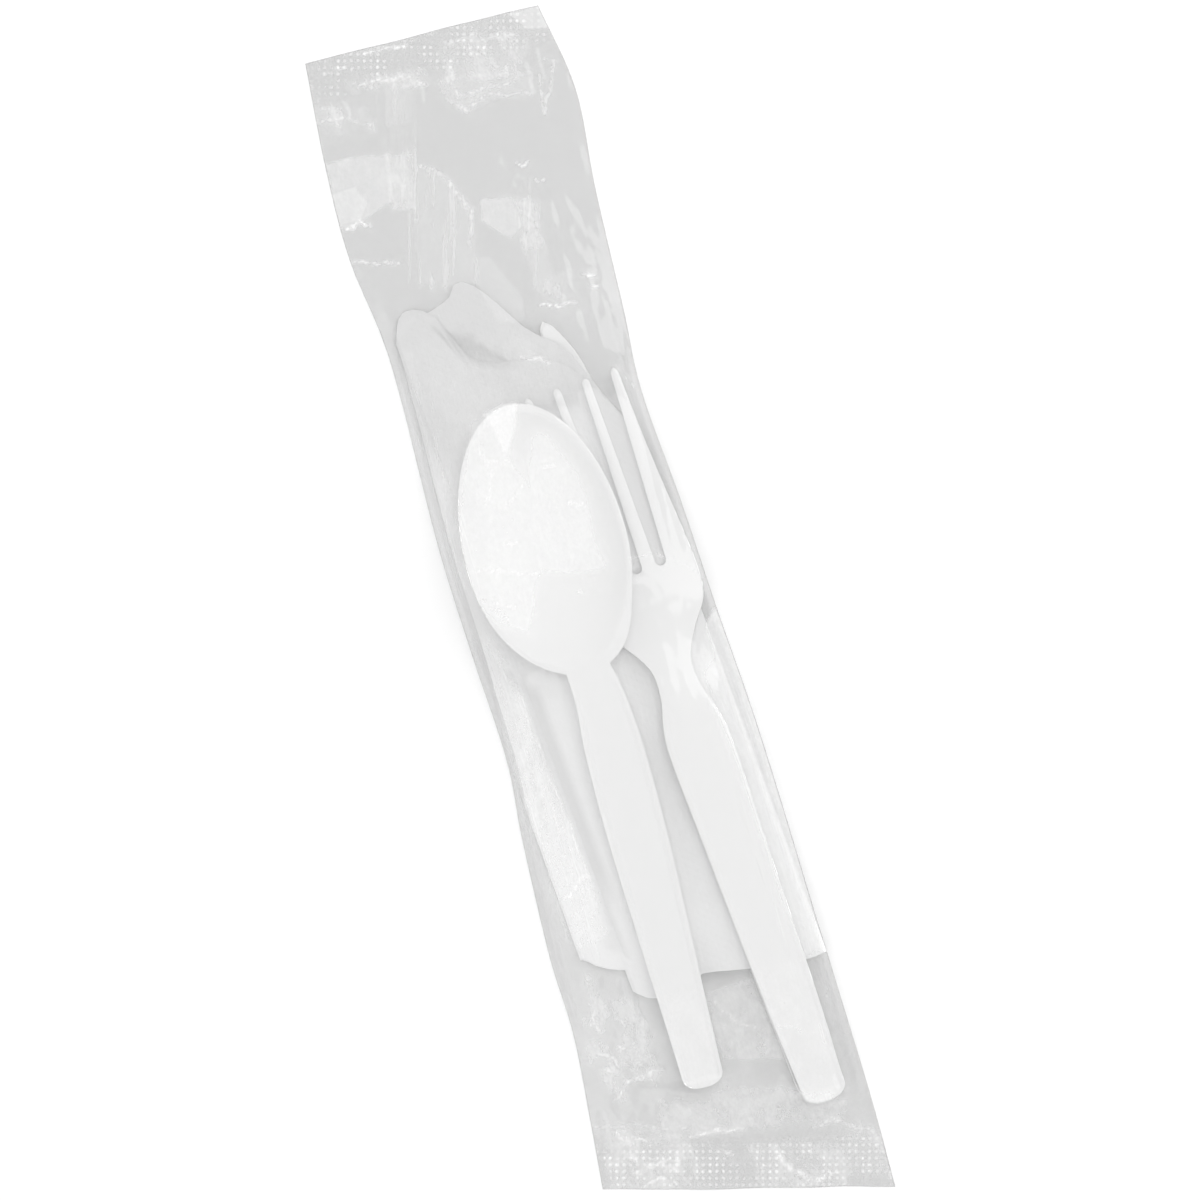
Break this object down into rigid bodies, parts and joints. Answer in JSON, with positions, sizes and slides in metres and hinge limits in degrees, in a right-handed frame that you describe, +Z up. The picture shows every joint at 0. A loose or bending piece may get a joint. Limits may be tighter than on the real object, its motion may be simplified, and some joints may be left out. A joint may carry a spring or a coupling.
{
  "type": "plastic cutlery pack",
  "caption": "Clear flow-wrapped sachet with crimped ends holding a disposable spoon, fork, serrated knife and a folded paper napkin, lying flat.",
  "frame": {"origin": "middle of the wrapper's bounding box seen from above, on the surface it lies on", "axes": "+Y runs along the pack towards the fork's tines and the spoon's bowl, +X runs across it from the spoon to the fork, +Z is up; row axes equal part axes"},
  "size_m": [0.0598, 0.2612, 0.0138],
  "materials": {
    "clear_film": "thin clear glossy polypropylene film, softly creased",
    "white_plastic": "white injection-moulded polystyrene, semi-gloss",
    "napkin_tissue": "soft white embossed paper tissue"
  },
  "bodies": {
    "root": {"film_wrapper": "clear_film", "spoon": "white_plastic", "fork": "white_plastic", "knife": "white_plastic", "napkin": "napkin_tissue"}
  },
  "joints": []
}
